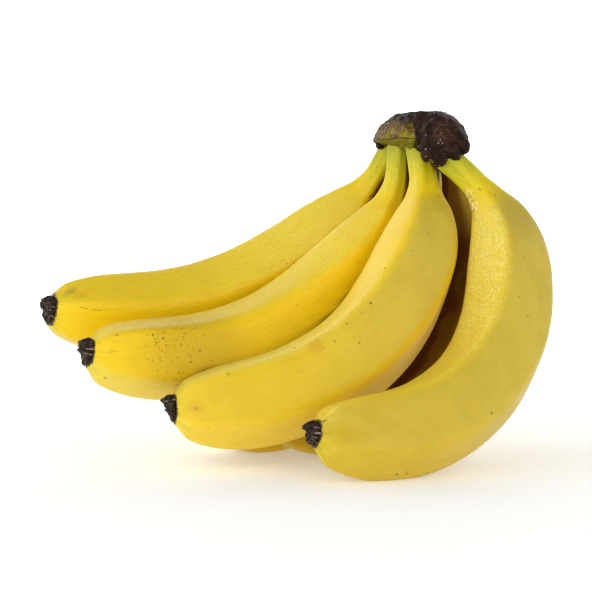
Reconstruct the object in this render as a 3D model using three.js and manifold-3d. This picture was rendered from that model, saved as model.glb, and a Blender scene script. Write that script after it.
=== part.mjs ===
// A hand of bananas as it lies on a table: six fingers in two rows that grow from one crown.
// Millimetres, +Z up, the table is z = 0.
import * as THREE from 'three';
import Module from 'manifold-3d';
import { mergeVertices } from 'three/addons/utils/BufferGeometryUtils.js';

const wasm = await Module();
wasm.setup();

// ---------------------------------------------------------------- driving dimensions

// A finger leaves the crown at `root` and sets off along `aim`: degrees round from +X, degrees
// below level. It curls in a plane that `turn` rolls about the aim, away from the plane of -X.
// `neck` and `body` are the degrees of [curl, sway] that the stalk and the fruit add.
// `length` runs along the middle from the crown to the blossom, `girth` is the radius at the
// thickest place, and `ridge` is the angle of the first of the five ridges round the middle.
const FINGERS = [
  {
    name: '1', root: [47.4, 47.4, 141.5], aim: [117.9, 44.4], turn: -44.9,
    neck: [56.5, -2.7], body: [41.4, 33], length: 206.5, girth: 19.1, ridge: 51, rests: false,
  },
  {
    name: '2', root: [50.1, 33.7, 142.5], aim: [106, 83], turn: -21,
    neck: [41.5, -7.5], body: [60, 1], length: 206.3, girth: 18.4, ridge: 26, rests: false,
  },
  {
    name: '3', root: [57.6, 23.7, 141.5], aim: [-62.4, 73], turn: 38.3,
    neck: [5.3, -24.9], body: [91.9, -28.1], length: 199, girth: 19.6, ridge: 40, rests: false,
  },
  {
    name: '4', root: [68, 11.5, 136.8], aim: [-4.9, 40.1], turn: -18.4,
    neck: [44.9, -3.9], body: [97.5, -10.2], length: 209.5, girth: 19.1, ridge: 9, rests: true,
  },
  {
    name: '5', root: [63.8, 34.4, 134.8], aim: [81, 48.5], turn: -46.5,
    neck: [36, 0], body: [86.5, 7.5], length: 197.5, girth: 18.4, ridge: 24, rests: true,
  },
  {
    name: '6', root: [69.5, 23.4, 144.6], aim: [45.4, 71.4], turn: -41.3,
    neck: [7.9, -2.3], body: [114, 27.1], length: 201.9, girth: 16.4, ridge: 25, rests: true,
  },
];

// Share of the full girth at each share of the way from the crown to the blossom.
const GIRTH_PROFILE = [
  [-0.03, 0.20], [0, 0.315], [0.08, 0.315], [0.13, 0.42], [0.18, 0.64], [0.24, 0.83], [0.32, 0.95],
  [0.45, 1.0], [0.62, 1.0], [0.76, 0.98], [0.86, 0.91], [0.92, 0.775], [0.96, 0.605], [0.985, 0.38],
];
const STALK_START = -0.03;      // the stalk's end inside the crown
const PEEL_END = 0.985;         // where the peel stops and the dried blossom begins
const NECK_BEND = [0, 0.3];     // stretch over which the neck's bend builds up
const BODY_BEND = [0.15, 1.05]; // stretch over which the body's bend builds up
const RIDGES = 5;
const RIDGE_NECK = 6.5;       // how angular the section is: 3 is round, 6 nearly flat-sided
const RIDGE_BODY = 6;
const RIDGE_TIP = 6.5;
const RIDGE_TWIST = -12;      // degrees that the ridges are wound back at the stalk
const TWIST_SPAN = [0.2, 0.6];  // stretch of the length over which they unwind
const REST_FLAT = 0.6;          // depth that a resting belly is pressed flat

const RINGS = 30;
const SIDES = 15;

const CROWN = {
  centre: [58.6, 27.2, 143],
  heading: -61,                 // degrees from +X to the crown's long axis, back end to front end
  half: [27, 17, 15.5],         // along the axis, across it, up
  planSquareness: 2.3,          // 2 is an ellipse, more is squarer
  sideSquareness: 1.65,
  top: 155.5,                   // height of the flat face where the main stalk was cut off
  shallowBack: 0.2,             // share of the full depth left under the back end
  shallowFront: 0.6,
  flankRaise: 0.55,             // how much shallower it is along the flank that faces the tips
};
// The dried rosette on the crown's front end, whose lobes hang over the stalks.
const ROSETTE = {
  centre: [66.1, 5.7, 143.5],
  facing: -84,                  // degrees from +X to the way it faces
  radius: 10.8,
  topShare: 0.8,                // how far its upper half reaches, as a share of the radius
  hang: 15,                     // degrees from straight down to the side that hangs lowest
  scallops: 11,
  scallopDepth: 0.06,
  back: 9,                      // how far it reaches back into the crown
  // Each hanging lobe: degrees from straight down, distance out, half its size across.
  lobes: [[-37, 11.2, 2.2], [-4, 9.9, 3.4], [38, 10.8, 2.2], [66, 11.2, 2.9]],
};
const JOINT_GAP = 0.5;          // clearance between a stalk and its socket in the crown

// A dried stub stands out furthest on its upper side, by `slant` more than half way down.
const BLOSSOM = { radius: 6.5, length: 3.6, slant: 1.1, cup: 1.2, ragged: 0.07 };

const COLOURS = { peel: 0xe6c637, crown: 0x4b3a22, blossom: 0x241a12 };

// ---------------------------------------------------------------- small helpers

const radians = THREE.MathUtils.degToRad;
const smooth = THREE.MathUtils.smoothstep;
const UP = new THREE.Vector3(0, 0, 1);

// A smooth curve through a list of [place, value] pairs, level where the list turns.
function readProfile(pairs, place) {
  const last = pairs.length - 1;
  let i = 0;
  while (i < last - 1 && place > pairs[i + 1][0]) i += 1;
  const slope = (k) => (pairs[k + 1][1] - pairs[k][1]) / (pairs[k + 1][0] - pairs[k][0]);
  const knotSlope = (k) => {
    if (k === 0) return slope(0);
    if (k === last) return slope(last - 1);
    const before = slope(k - 1);
    const after = slope(k);
    return before * after <= 0 ? 0 : (2 * before * after) / (before + after);
  };
  const [x0, y0] = pairs[i];
  const [x1, y1] = pairs[i + 1];
  const t = (place - x0) / (x1 - x0);
  const span = x1 - x0;
  const h1 = t * t * (3 - 2 * t);
  const rise = t * (1 - t) * (1 - t) * knotSlope(i) - t * t * (1 - t) * knotSlope(i + 1);
  return y0 + (y1 - y0) * h1 + rise * span;
}

// A closed mesh from rings of points, with the first and last ring closed by a middle point.
function skin(rings, firstMiddle, lastMiddle) {
  const sides = rings[0].length;
  const points = rings.flat();
  const first = points.push(firstMiddle) - 1;
  const last = points.push(lastMiddle) - 1;
  const faces = [];
  for (let i = 0; i + 1 < rings.length; i += 1) {
    for (let j = 0; j < sides; j += 1) {
      const k = (j + 1) % sides;
      const here = i * sides;
      const next = here + sides;
      faces.push(here + j, here + k, next + k, here + j, next + k, next + j);
    }
  }
  const end = (rings.length - 1) * sides;
  for (let j = 0; j < sides; j += 1) {
    const k = (j + 1) % sides;
    faces.push(first, k, j, last, end + j, end + k);
  }
  const geometry = new THREE.BufferGeometry();
  geometry.setAttribute('position', new THREE.Float32BufferAttribute(points.flatMap((p) => p.toArray()), 3));
  geometry.setIndex(faces);
  return geometry;
}

function toSolid(geometry) {
  const merged = mergeVertices(geometry, 1e-4);
  return new wasm.Manifold(new wasm.Mesh({
    numProp: 3,
    vertProperties: new Float32Array(merged.attributes.position.array),
    triVerts: new Uint32Array(merged.index.array),
  }));
}

function toGeometry(solid) {
  const mesh = solid.getMesh();
  const geometry = new THREE.BufferGeometry();
  geometry.setAttribute('position', new THREE.BufferAttribute(new Float32Array(mesh.vertProperties), 3));
  geometry.setIndex(new THREE.BufferAttribute(new Uint32Array(mesh.triVerts), 1));
  return geometry;
}

// ---------------------------------------------------------------- fingers

// The finger's middle line: the way it runs at each place, and the side that it first curls to.
function middleLine(finger) {
  const [round, dive] = finger.aim.map(radians);
  const aim = new THREE.Vector3(
    Math.cos(dive) * Math.cos(round), Math.cos(dive) * Math.sin(round), -Math.sin(dive));
  const left = new THREE.Vector3(-1, 0, 0).addScaledVector(aim, aim.x).normalize();
  const inward = left.clone().applyAxisAngle(aim, radians(finger.turn));
  const side = aim.clone().cross(inward);
  const neckFull = (u) => smooth(u, ...NECK_BEND);
  const bodyFull = (u) => smooth(u, ...BODY_BEND) / smooth(1, ...BODY_BEND);
  const bend = (u, part) => radians(
    finger.neck[part] * neckFull(u) + finger.body[part] * bodyFull(u));
  const direction = (u) => {
    const curl = bend(u, 0);
    const sway = bend(u, 1);
    return aim.clone().multiplyScalar(Math.cos(curl) * Math.cos(sway))
      .addScaledVector(inward, Math.sin(curl) * Math.cos(sway))
      .addScaledVector(side, Math.sin(sway));
  };
  return { direction, inward };
}

// Places along a finger, closer together at the stalk and at the blossom end.
function ringPlaces(from, to, count) {
  const places = [];
  for (let i = 0; i < count; i += 1) {
    const t = i / (count - 1);
    places.push(from + (to - from) * (t - 0.09 * Math.sin(2 * Math.PI * t)));
  }
  return places;
}

// How far the section stands out at an angle round it: a soft polygon with RIDGES corners.
function ridgeShape(angle, edge) {
  let sum = 0;
  for (let k = 0; k < RIDGES; k += 1) {
    const toFace = angle - (2 * Math.PI * (k + 0.5)) / RIDGES;
    sum += Math.max(0, Math.cos(toFace)) ** edge;
  }
  return sum ** (-1 / edge);
}

function angularity(u) {
  const body = RIDGE_NECK + (RIDGE_BODY - RIDGE_NECK) * smooth(u, 0.1, 0.4);
  return body + (RIDGE_TIP - body) * smooth(u, 0.78, 0.95);
}

// Frames at the given places: a point, the direction on, and the section's two axes.
function framesAlong(finger, places) {
  const { direction, inward } = middleLine(finger);
  const frames = [];
  const steps = 16;
  let point = new THREE.Vector3(...finger.root);
  let u = 0;
  let across = inward;
  for (const place of places) {
    const step = (place - u) / steps;
    for (let i = 0; i < steps; i += 1) {
      point = point.clone().addScaledVector(direction(u + step * (i + 0.5)), step * finger.length);
    }
    u = place;
    const along = direction(Math.max(place, 0));
    across = across.clone().addScaledVector(along, -across.dot(along)).normalize();
    frames.push({ point, along, across, side: along.clone().cross(across), place });
  }
  return frames;
}

function fingerRings(finger, places, extra) {
  return framesAlong(finger, places).map((frame) => {
    const radius = finger.girth * readProfile(GIRTH_PROFILE, frame.place);
    const edge = angularity(frame.place);
    const mean = (ridgeShape(0, edge) + ridgeShape(Math.PI / RIDGES, edge)) / 2;
    const twist = RIDGE_TWIST * (1 - smooth(frame.place, ...TWIST_SPAN));
    const start = radians(finger.ridge + twist);
    const ring = [];
    for (let j = 0; j < SIDES; j += 1) {
      const angle = (2 * Math.PI * j) / SIDES;
      const reach = (radius * ridgeShape(angle, edge)) / mean + extra;
      const turned = angle + start;
      ring.push(frame.point.clone()
        .addScaledVector(frame.across, reach * Math.cos(turned))
        .addScaledVector(frame.side, reach * Math.sin(turned)));
    }
    return ring;
  });
}

function middleOf(ring) {
  const sum = ring.reduce((total, point) => total.add(point), new THREE.Vector3());
  return sum.divideScalar(ring.length);
}

function fingerSolid(finger) {
  const rings = fingerRings(finger, ringPlaces(STALK_START, PEEL_END, RINGS), 0);
  return toSolid(skin(rings, middleOf(rings[0]), middleOf(rings.at(-1))));
}

// Lowers or lifts a resting finger's root until its belly is REST_FLAT below the table.
function settle(finger) {
  if (!finger.rests) return finger;
  const lowest = fingerSolid(finger).boundingBox().min[2];
  const [x, y, z] = finger.root;
  return { ...finger, root: [x, y, z - REST_FLAT - lowest] };
}

function peel(finger) {
  const whole = fingerSolid(finger);
  return finger.rests ? whole.trimByPlane([0, 0, 1], 0) : whole;
}

// ---------------------------------------------------------------- dried blossom ends

// A stub of dried flower: a torn, slanting collar round a hollow end.
function blossomEnd(finger, index) {
  const [frame] = framesAlong(finger, [PEEL_END]);
  const { radius, length, slant, cup, ragged } = BLOSSOM;
  const top = Math.atan2(frame.side.z, frame.across.z);
  const profile = [
    [JOINT_GAP, 0.9], [0.35 * length, 1.0], [0.7 * length, 0.97], [length, 0.84],
    [length - 0.5 * cup, 0.6],
  ];
  const sides = 20;
  const rings = profile.map(([height, share], level) => {
    const torn = level / (profile.length - 1);
    const ring = [];
    for (let j = 0; j < sides; j += 1) {
      const angle = (2 * Math.PI * j) / sides;
      const wave = Math.sin(5 * angle + index * 1.7) + 0.7 * Math.sin(3 * angle - index);
      const reach = radius * share * (1 + ragged * wave * (0.3 + 0.7 * torn));
      const lift = torn * (slant * Math.cos(angle - top) + 0.4 * Math.sin(4 * angle + index * 2.3));
      ring.push(frame.point.clone()
        .addScaledVector(frame.along, height + lift)
        .addScaledVector(frame.across, reach * Math.cos(angle))
        .addScaledVector(frame.side, reach * Math.sin(angle)));
    }
    return ring;
  });
  const cupFloor = frame.point.clone().addScaledVector(frame.along, length - cup);
  return toSolid(skin(rings, middleOf(rings[0]), cupFloor));
}

// ---------------------------------------------------------------- crown

// The pad that all the stalks grow from: a lump with sloping shoulders and a flat top where it
// was cut from the main stalk. It is deeper at the front end than at the back, and shallower on
// the flank that faces the tips.
function crownLump() {
  const levels = 16;
  const sides = 36;
  const [a, b, c] = CROWN.half;
  const { planSquareness, sideSquareness, shallowBack, shallowFront, flankRaise } = CROWN;
  const heading = radians(CROWN.heading);
  const rings = [];
  for (let i = 1; i < levels; i += 1) {
    const climb = Math.PI * (i / levels - 0.5);
    const ring = [];
    for (let j = 0; j < sides; j += 1) {
      const round = (2 * Math.PI * j) / sides;
      const dx = Math.cos(climb) * Math.cos(round);
      const dy = Math.cos(climb) * Math.sin(round);
      const dz = Math.sin(climb);
      const plan = (Math.abs(dx / a) ** planSquareness
        + Math.abs(dy / b) ** planSquareness) ** (1 / planSquareness);
      const reach = (plan ** sideSquareness
        + Math.abs(dz / c) ** sideSquareness) ** (-1 / sideSquareness);
      const knobble = 1 + 0.02 * Math.sin(5 * round + 3 * climb)
        + 0.015 * Math.sin(9 * round - 7 * climb);
      const deep = shallowBack + (shallowFront - shallowBack) * smooth(dx * reach, -a, a * 0.6);
      const under = deep * (1 - flankRaise * smooth(-dy * reach, 3, 12));
      ring.push(new THREE.Vector3(
        dx * reach * knobble,
        dy * reach * knobble,
        dz * reach * (dz < 0 ? under : 1),
      ).applyAxisAngle(UP, heading).add(new THREE.Vector3(...CROWN.centre)));
    }
    rings.push(ring);
  }
  return toSolid(skin(rings, middleOf(rings[0]), middleOf(rings.at(-1))));
}

// A place on the rosette: how far it is out of its face, and the degrees and distance from its
// middle, with 0 degrees straight down.
function onRosette(out, angle, distance) {
  return new THREE.Vector3(out, distance * Math.sin(angle), -distance * Math.cos(angle))
    .applyAxisAngle(UP, radians(ROSETTE.facing)).add(new THREE.Vector3(...ROSETTE.centre));
}

// A scalloped disc with a raised middle, which faces out from the crown's front end.
function rosette() {
  const { radius, topShare, hang, scallops, scallopDepth, back } = ROSETTE;
  const profile = [
    [-back, 0.72, 0], [-1.5, 0.98, 1], [1.5, 1, 1], [3, 0.86, 0.8], [2.6, 0.6, 0.3], [4, 0.25, 0],
  ];
  const sides = 4 * scallops;
  const rings = profile.map(([out, share, edge]) => {
    const ring = [];
    for (let j = 0; j < sides; j += 1) {
      const angle = (2 * Math.PI * j) / sides;
      const low = smooth(Math.cos((angle - radians(hang)) / 2) ** 2, 0.35, 0.8);
      const scallop = scallopDepth * edge * low * (2 * Math.abs(Math.cos((scallops * angle) / 2)) - 1);
      const reach = radius * share * (topShare + (1 - topShare) * low) * (1 + scallop);
      ring.push(onRosette(out, angle, reach));
    }
    return ring;
  });
  return toSolid(skin(rings, middleOf(rings[0]), middleOf(rings.at(-1))));
}

function hangingLobes() {
  return ROSETTE.lobes.map(([degrees, distance, size]) => {
    const middle = onRosette(0.5, radians(degrees), distance);
    return wasm.Manifold.sphere(1, 16).scale([size, size, size * 1.25]).translate(middle.toArray());
  });
}

// The room that a stalk needs in the crown: its own first stretch, a little wider.
function socket(finger) {
  const places = ringPlaces(STALK_START, PEEL_END, RINGS).filter((place) => place < 0.25);
  const rings = fingerRings(finger, [STALK_START - 0.003, ...places.slice(1)], JOINT_GAP);
  return toSolid(skin(rings, middleOf(rings[0]), middleOf(rings.at(-1))));
}

// The crown with its sockets cut. Slivers that are left loose between two sockets are dropped.
function crownSolid(fingers) {
  const bodies = wasm.Manifold.union([crownLump(), rosette(), ...hangingLobes()])
    .trimByPlane([0, 0, -1], -CROWN.top)
    .subtract(wasm.Manifold.union(fingers.map(socket)))
    .simplify(0.05)
    .decompose();
  return bodies.reduce((largest, body) => (body.volume() > largest.volume() ? body : largest));
}

// ---------------------------------------------------------------- the hand

function addPiece(group, name, solid, colour, roughness) {
  const material = new THREE.MeshStandardMaterial({ color: colour, roughness, metalness: 0 });
  const mesh = new THREE.Mesh(toGeometry(solid), material);
  mesh.name = name;
  group.add(mesh);
}

const hand = new THREE.Group();
const settled = FINGERS.map(settle);
addPiece(hand, 'crown', crownSolid(settled), COLOURS.crown, 0.9);
settled.forEach((finger, index) => {
  addPiece(hand, `finger_${finger.name}`, peel(finger), COLOURS.peel, 0.45);
  addPiece(hand, `blossom_end_${finger.name}`, blossomEnd(finger, index), COLOURS.blossom, 0.95);
});

export default hand;
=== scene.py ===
"""Looks for a hand of bananas: six ripe fingers on one dried crown, lying on a pale floor."""
import math

import bpy
import numpy as np
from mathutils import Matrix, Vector, noise
from mathutils.bvhtree import BVHTree


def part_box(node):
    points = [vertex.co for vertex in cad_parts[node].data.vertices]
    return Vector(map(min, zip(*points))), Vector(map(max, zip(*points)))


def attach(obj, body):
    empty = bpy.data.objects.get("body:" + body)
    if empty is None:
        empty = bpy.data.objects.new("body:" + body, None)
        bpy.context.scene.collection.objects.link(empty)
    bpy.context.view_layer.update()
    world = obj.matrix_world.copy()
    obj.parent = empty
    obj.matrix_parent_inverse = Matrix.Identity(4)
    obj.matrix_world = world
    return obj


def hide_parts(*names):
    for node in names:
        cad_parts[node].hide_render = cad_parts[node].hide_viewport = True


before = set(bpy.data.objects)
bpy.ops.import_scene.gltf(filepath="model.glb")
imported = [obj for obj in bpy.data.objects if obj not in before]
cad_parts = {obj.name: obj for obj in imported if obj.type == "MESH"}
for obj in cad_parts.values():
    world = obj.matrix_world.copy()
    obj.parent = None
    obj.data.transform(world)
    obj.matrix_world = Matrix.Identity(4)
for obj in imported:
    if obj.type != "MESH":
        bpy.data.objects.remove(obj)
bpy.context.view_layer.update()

bl_info = {
    "name": "Hand of Bananas",
    "version": (1, 0, 0),
    "blender": (4, 5, 0),
    "location": "View3D > Sidebar > Bananas",
    "description": "Builds the fingers, crown and dried blossom ends of a hand of bananas",
    "category": "Object",
}

MM = 0.001

# ------------------------------------------------------------------ the hand's own sizes

# A finger leaves the crown at root (mm) and sets off along aim: degrees round from +X, degrees
# below level. It curls in a plane that turn rolls about the aim, away from the plane of -X.
# neck and body are the degrees of (curl, sway) that the stalk and the fruit add. length runs
# along the middle, girth is the radius at the thickest place, and ridge is the angle of the
# first of the five ridges round the middle.
FINGERS = (
    {"root": (47.4, 47.4, 141.5), "aim": (117.9, 44.4), "turn": -44.9, "neck": (56.5, -2.7),
     "body": (41.4, 33), "length": 206.5, "girth": 19.1, "ridge": 51, "rests": False},
    {"root": (50.1, 33.7, 142.5), "aim": (106, 83), "turn": -21, "neck": (41.5, -7.5),
     "body": (60, 1), "length": 206.3, "girth": 18.4, "ridge": 26, "rests": False},
    {"root": (57.6, 23.7, 141.5), "aim": (-62.4, 73), "turn": 38.3, "neck": (5.3, -24.9),
     "body": (91.9, -28.1), "length": 199, "girth": 19.6, "ridge": 40, "rests": False},
    {"root": (68, 11.5, 136.8), "aim": (-4.9, 40.1), "turn": -18.4, "neck": (44.9, -3.9),
     "body": (97.5, -10.2), "length": 209.5, "girth": 19.1, "ridge": 9, "rests": True},
    {"root": (63.8, 34.4, 134.8), "aim": (81, 48.5), "turn": -46.5, "neck": (36, 0),
     "body": (86.5, 7.5), "length": 197.5, "girth": 18.4, "ridge": 24, "rests": True},
    {"root": (69.5, 23.4, 144.6), "aim": (45.4, 71.4), "turn": -41.3, "neck": (7.9, -2.3),
     "body": (114, 27.1), "length": 201.9, "girth": 16.4, "ridge": 25, "rests": True},
)

# Share of the full girth at each share of the way from the crown to the blossom.
GIRTH_PROFILE = (
    (-0.03, 0.20), (0, 0.315), (0.08, 0.315), (0.13, 0.42), (0.18, 0.64), (0.24, 0.83),
    (0.32, 0.95), (0.45, 1.0), (0.62, 1.0), (0.76, 0.98), (0.86, 0.91), (0.92, 0.775),
    (0.96, 0.605), (0.985, 0.38),
)
STALK_START = -0.03
PEEL_END = 0.985
NECK_BEND = (0.0, 0.3)  # the stalk's and the fruit's bends come in over these shares
BODY_BEND = (0.15, 1.05)
RIDGES = 5
RIDGE_NECK, RIDGE_BODY, RIDGE_TIP = 6.5, 7.0, 7.0  # how square the section is along the finger
RIDGE_TWIST = -12.0  # degrees that the ridges turn over TWIST_SPAN
TWIST_SPAN = (0.2, 0.6)
REST_FLAT = 0.6  # how deep a resting finger is pressed flat (mm)
RING_CROWDING = 0.09  # how far the rings are drawn towards both ends
CREST_WIDTH = 0.16  # radians either side of a ridge
CREST_LEAST = 0.35  # what is left of a ridge's crest halfway along
CREST_RADII = (5.5, 12)  # a thinner stalk has no crest, a thicker body a whole one (mm)
PLEATS, PLEAT_DEPTH = 17, 0.14  # round the tip
GROOVES, GROOVE_DEPTH = 10, 0.07  # down the stalk
DENTS = ((0.45, 38, 0), (0.16, 13, 9))  # depth and size across in mm, seed

# Scales of the peel's patterns, in features to a metre.
BLOTCHES, CLOUDS, DUST, GLOSS = 28.0, 90.0, 70.0, 120.0
PIMPLES, STREAKS, FOLDS, CREASES = 780.0, 850.0, 520.0, 200.0
SPECKS, FRECKLES, SPECK_CLUSTERS = 260.0, 760.0, 22.0
DULL_STALK, STAIN_BORDERS, TIP_BORDER = 300.0, 160.0, 420.0
STREAK_STRETCH = (1.0, 1.0, 0.13)
BORDER_SWING = 0.07  # how uneven the stalk's and the tip's borders are, as a share of the length
TIP_SPAN = (0.945, 0.985)  # creases and a green tint come in over these shares of the length
# The same for the crown's patterns and the dried blossoms'.
BARK_BLOTCHES, FLANK_BLOTCHES, RUST_CLOUDS = 330.0, 450.0, 700.0
FLANK_FRECKLES, SPARKLES = 900.0, 1100.0
DRIED_BLOTCHES, FIBRE_PATCHES = 500.0, 420.0
# Where a stain, a freckled patch or a mark starts and ends to fade, as shares of its size.
STAIN_FADE, FRECKLE_FADE, MARK_FADE = (0.15, 0.6), (0.2, 0.6), (0.45, 1.25)

# Brown dots on the peel: finger, share along, degrees round, size across in mm, strength.
MARKS = (
    (1, 0.824, 6, 0.9, 0.35), (1, 0.723, -1, 0.8, 0.35), (1, 0.712, -23, 1.0, 0.45),
    (2, 0.948, -48, 1.2, 0.6), (2, 0.978, -51, 1.2, 0.3), (2, 0.791, -22, 1.2, 0.7),
    (2, 0.819, -34, 1.0, 0.4), (2, 0.873, -54, 1.3, 0.7), (2, 0.885, -54, 0.8, 0.5),
    (2, 0.846, -51, 1.1, 0.6), (2, 0.850, -59, 1.3, 0.75), (2, 0.820, -62, 0.9, 0.5),
    (2, 0.795, -55, 0.9, 0.5), (2, 0.866, -65, 1.2, 0.6), (2, 0.825, -70, 0.9, 0.5),
    (2, 0.768, -80, 1.2, 0.7), (2, 0.846, -80, 0.9, 0.5), (2, 0.791, -95, 1.2, 0.6),
    (2, 0.855, -77, 0.8, 0.4), (2, 0.795, -84, 0.8, 0.4), (2, 0.745, -95, 0.9, 0.5),
    (2, 0.953, -152, 1.2, 0.8), (3, 0.874, -109, 1.3, 0.6), (1, 0.428, -24, 0.9, 0.5),
    (1, 0.412, -28, 0.9, 0.45), (3, 0.386, -101, 1.1, 0.6), (3, 0.399, -94, 1.1, 0.4),
    (3, 0.483, -113, 1.3, 0.85), (3, 0.515, -112, 1.0, 0.4), (3, 0.558, -109, 1.2, 0.55),
    (3, 0.567, -137, 1.2, 0.6), (3, 0.608, -117, 1.2, 0.5), (3, 0.640, -116, 1.0, 0.35),
    (1, 0.130, -45, 1.4, 0.9), (3, 0.269, -139, 2.2, 0.2), (3, 0.142, -167, 1.8, 0.4),
    (3, 0.080, -172, 1.1, 0.6), (3, 0.950, -154, 1.6, 0.35), (3, 0.925, 174, 1.0, 0.35),
    (4, 0.109, -66, 1.2, 0.9), (4, 0.140, -91, 1.1, 0.6), (4, 0.128, -84, 1.0, 0.5),
    (4, 0.120, -20, 1.1, 0.6), (4, 0.122, -1, 1.2, 0.7),
    (4, 0.248, -53, 1.2, 0.4), (4, 0.303, -95, 1.0, 0.4), (4, 0.400, -88, 1.1, 0.45),
    (4, 0.435, -105, 1.2, 0.5), (4, 0.651, -132, 1.2, 0.85), (4, 0.833, 173, 1.4, 0.75),
    (4, 0.815, 173, 1.2, 0.75), (4, 0.780, 158, 1.2, 0.8), (4, 0.770, 163, 1.2, 0.8),
    (4, 0.757, -169, 1.0, 0.4), (4, 0.980, -73, 1.5, 0.75),
)
# Thin scars: finger, share and degrees at each end, width across in mm, strength.
SCARS = (
    (3, 0.706, -66, 0.696, -96, 0.9, 0.6), (1, 0.944, -27, 0.93, -30, 0.7, 0.4),
    (1, 0.918, -31, 0.902, -31, 0.7, 0.35),
    (2, 0.83, 8, 0.80, 4, 0.6, 0.6), (2, 0.885, -6, 0.872, -4, 0.6, 0.45),
)
# Soft patches: finger, share, degrees, size across in mm, colour, strength.
PATCHES = (
    (3, 0.652, -110, 9, "rust", 0.45), (4, 0.985, 151, 7, "stalk_green", 0.8),
    (4, 0.2, -108, 34, "olive", 0.28), (4, 0.16, -128, 26, "olive", 0.25),
    (4, 0.961, -116, 19, "ochre", 0.85), (4, 0.90, -84, 12, "ochre", 0.5),
    (1, 0.963, 14, 9, "olive", 0.6), (1, 0.945, 2, 9, "ochre", 0.5),
    (2, 0.78, -78, 60, "ochre", 0.65), (2, 0.15, -60, 9, "rust", 0.2),
    (3, 0.17, -160, 14, "olive", 0.35), (3, 0.955, -150, 9, "rust", 0.4),
    (5, 0.55, 60, 30, "ochre", 0.6), (1, 0.60, 110, 40, "ochre", 0.6),
    (1, 0.30, 150, 26, "olive", 0.25), (5, 0.25, 100, 22, "olive", 0.3),
)
# A glossy wrinkled patch with painted highlights: finger, share, degrees, size across in mm.
WRINKLED = (4, 0.125, -12, 20)
# Patches of fine brown freckles: finger, share, degrees, size across in mm, strength.
FRECKLED = (
    (2, 0.825, -68, 42, 1.0), (4, 0.14, -30, 26, 0.6), (3, 0.5, -112, 40, 0.35),
    (4, 0.16, -100, 34, 0.8), (1, 0.13, -50, 24, 0.7), (3, 0.10, -150, 30, 0.9),
    (2, 0.12, -60, 24, 0.7), (4, 0.36, -90, 50, 0.35), (1, 0.55, 120, 60, 0.8),
    (5, 0.60, 40, 60, 0.8), (5, 0.30, 160, 40, 0.7), (6, 0.50, 60, 50, 0.7),
)
# Faces that differ from the main yellow: finger, face (counted on from the first ridge), finish,
# and how strong it is in the upper and in the lower half. The finishes are partly painted light:
# pale faces are partly a painted sheen, dusty faces partly painted shade, deeper yellow faces
# painted bounce light between the fingers, and shade faces painted shade.
FACES = (
    (1, 0, "cream_and_sheen", 0.7, 0.5), (1, 4, "cream_and_sheen", 0.75, 0.1), (1, 3, "deep", 1.0, 0.5),
    (2, 0, "cream_and_sheen", 0.6, 0.6), (2, 4, "cream_and_sheen", 0.45, 0.2), (2, 3, "deep", 1.0, 0.6),
    (2, 2, "cream_and_sheen", 0.5, 0.7),
    (3, 3, "cream_and_sheen", 0.0, 1.0), (3, 2, "dust_and_shade", 0.85, 0.2), (3, 1, "deep", 1.0, 0.5),
    (3, 1, "cream_and_sheen", 0.0, 0.45), (3, 4, "cream_and_sheen", 0.3, 0.6),
    (4, 4, "cream_and_sheen", 0.9, 0.4), (4, 4, "waxy", 1.0, 0.2), (4, 3, "dust_and_shade", 0.9, 0.75),
    (4, 2, "dust_and_shade", 0.9, 0.5), (4, 1, "dust_and_shade", 0.6, 0.3),
    (1, 4, "waxy", 0.2, 0.1), (2, 4, "waxy", 0.2, 0.35), (3, 3, "waxy", 0.1, 0.6),
    (6, 4, "shade", 0.9, 0.8), (6, 3, "shade", 0.6, 0.3),
    (5, 1, "cream_and_sheen", 0.4, 0.4), (5, 0, "cream_and_sheen", 0.4, 0.4),
    (6, 1, "cream_and_sheen", 0.4, 0.4), (6, 0, "dust_and_shade", 0.4, 0.4),
    (1, 1, "dust_and_shade", 0.6, 0.35), (1, 2, "deep", 0.5, 0.3), (2, 1, "dust_and_shade", 0.5, 0.4),
    (5, 2, "dust_and_shade", 0.6, 0.4), (5, 3, "deep", 0.6, 0.4), (6, 2, "dust_and_shade", 0.5, 0.5),
)
FACE_SOFT = math.radians(9)
STALK_END = (0.11, 0.2)  # the faces' finishes fade in over these shares of the length

# Shut-in peel, painted brown as painted shade, is found with rays from every third point of
# every third ring.
SHUT_STEP = 3
RAYS = 90
LEAST_LEAN = 0.1  # flatter rays along the peel are left out
LOOK_OUT = 150.0  # how far a ray looks (mm)
SHUT_SHARE = (0.15, 0.27)  # of the sky that is free: shut in below, open above

# The crown is a lump, squarish in plan, with its long side along CROWN_HEADING (mm). Its lower
# half is shallow at the back end, deeper at the front, and raised on the green flank.
CROWN_CENTRE = (58.6, 27.2, 143.0)
CROWN_HEADING = math.radians(-61)
CROWN_HALF = (27.0, 17.0, 15.5)
PLAN_SQUARENESS, SIDE_SQUARENESS = 2.3, 1.65
CROWN_TOP = 155.5
SHALLOW_BACK, SHALLOW_FRONT = 0.2, 0.6
FLANK_RAISE = 0.55

# The rosette is a scalloped disc on the crown's front end (mm). Its upper half is smaller, by
# ROSETTE_TOP, and its middle hangs ROSETTE_HANG from straight down.
ROSETTE_CENTRE = (66.1, 5.7, 143.5)
ROSETTE_FACING = math.radians(-84)
ROSETTE_RADIUS = 10.8
SCALLOPS, SCALLOP_DEPTH = 11, 0.06
ROSETTE_BACK = 9.0
ROSETTE_TOP = 0.8
ROSETTE_HANG = math.radians(15)
BACK_BUMP, BUMP_HALF = (41.2, 44.4, 141.8), (2.4, 2.4, 2.0)
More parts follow.
